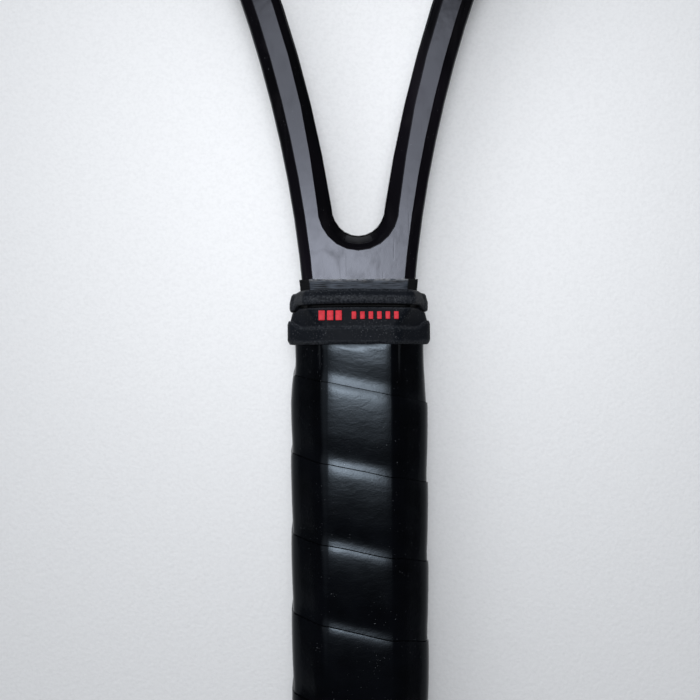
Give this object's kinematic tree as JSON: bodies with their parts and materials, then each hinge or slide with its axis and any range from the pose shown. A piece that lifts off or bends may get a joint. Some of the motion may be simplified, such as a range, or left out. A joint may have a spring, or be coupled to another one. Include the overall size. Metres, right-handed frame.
{
  "type": "tennis racket",
  "caption": "Strung tennis racket with a lacquered black frame, an octagonal overgripped handle and a ribbed rubber damper collar that slides on the shaft above the grip.",
  "frame": {"origin": "centre of the butt's end face", "axes": "+Y from the butt to the tip along the racket, +Z out of the string face, +X to the right"},
  "size_m": [0.2672, 0.6844, 0.036],
  "materials": {
    "lacquered_carbon": "gloss clear lacquer over black",
    "grommet_plastic": "matte moulded nylon",
    "string_filament": "semi-gloss filament",
    "pallet_foam": "moulded rigid foam",
    "cap_plastic": "fine moulded texture",
    "plug_plastic": "satin",
    "weight_metal": "dull cast metal",
    "staple_steel": "bright wire",
    "base_grip_leather": "perforated synthetic leather",
    "overgrip_film": "smooth tacky film, semi-gloss",
    "tape_cloth": "matte cloth tape",
    "collar_rubber": "satin moulded rubber",
    "collar_red": "raised coloured rubber marks"
  },
  "bodies": {
    "racket": {"carbon_frame": "lacquered_carbon", "bumper_guard": "grommet_plastic", "grommet_strip_left": "grommet_plastic", "grommet_strip_right": "grommet_plastic", "throat_grommet_strip": "grommet_plastic", "main_string_01": "string_filament", "main_string_02": "string_filament", "main_string_03": "string_filament", "main_string_04": "string_filament", "main_string_05": "string_filament", "main_string_06": "string_filament", "main_string_07": "string_filament", "main_string_08": "string_filament", "main_string_09": "string_filament", "main_string_10": "string_filament", "main_string_11": "string_filament", "main_string_12": "string_filament", "main_string_13": "string_filament", "main_string_14": "string_filament", "main_string_15": "string_filament", "main_string_16": "string_filament", "cross_string_01": "string_filament", "cross_string_02": "string_filament", "cross_string_03": "string_filament", "cross_string_04": "string_filament", "cross_string_05": "string_filament", "cross_string_06": "string_filament", "cross_string_07": "string_filament", "cross_string_08": "string_filament", "cross_string_09": "string_filament", "cross_string_10": "string_filament", "cross_string_11": "string_filament", "cross_string_12": "string_filament", "cross_string_13": "string_filament", "cross_string_14": "string_filament", "cross_string_15": "string_filament", "cross_string_16": "string_filament", "cross_string_17": "string_filament", "cross_string_18": "string_filament", "cross_string_19": "string_filament", "pallet_front": "pallet_foam", "pallet_back": "pallet_foam", "butt_cap": "cap_plastic", "balance_weight": "weight_metal", "butt_staple_left": "staple_steel", "butt_staple_right": "staple_steel", "base_grip": "base_grip_leather", "overgrip": "overgrip_film", "finishing_tape": "tape_cloth"},
    "collar": {"damper_collar": "collar_rubber"},
    "plug": {"butt_plug": "plug_plastic"}
  },
  "joints": [
    {"name": "collar_slide", "type": "slide", "parent": "racket", "child": "collar", "axis": [0, 1, 0], "range_m": [0, 0.01]},
    {"name": "plug_pull", "type": "slide", "parent": "racket", "child": "plug", "axis": [0, -1, 0], "range_m": [0, 0.008]}
  ]
}
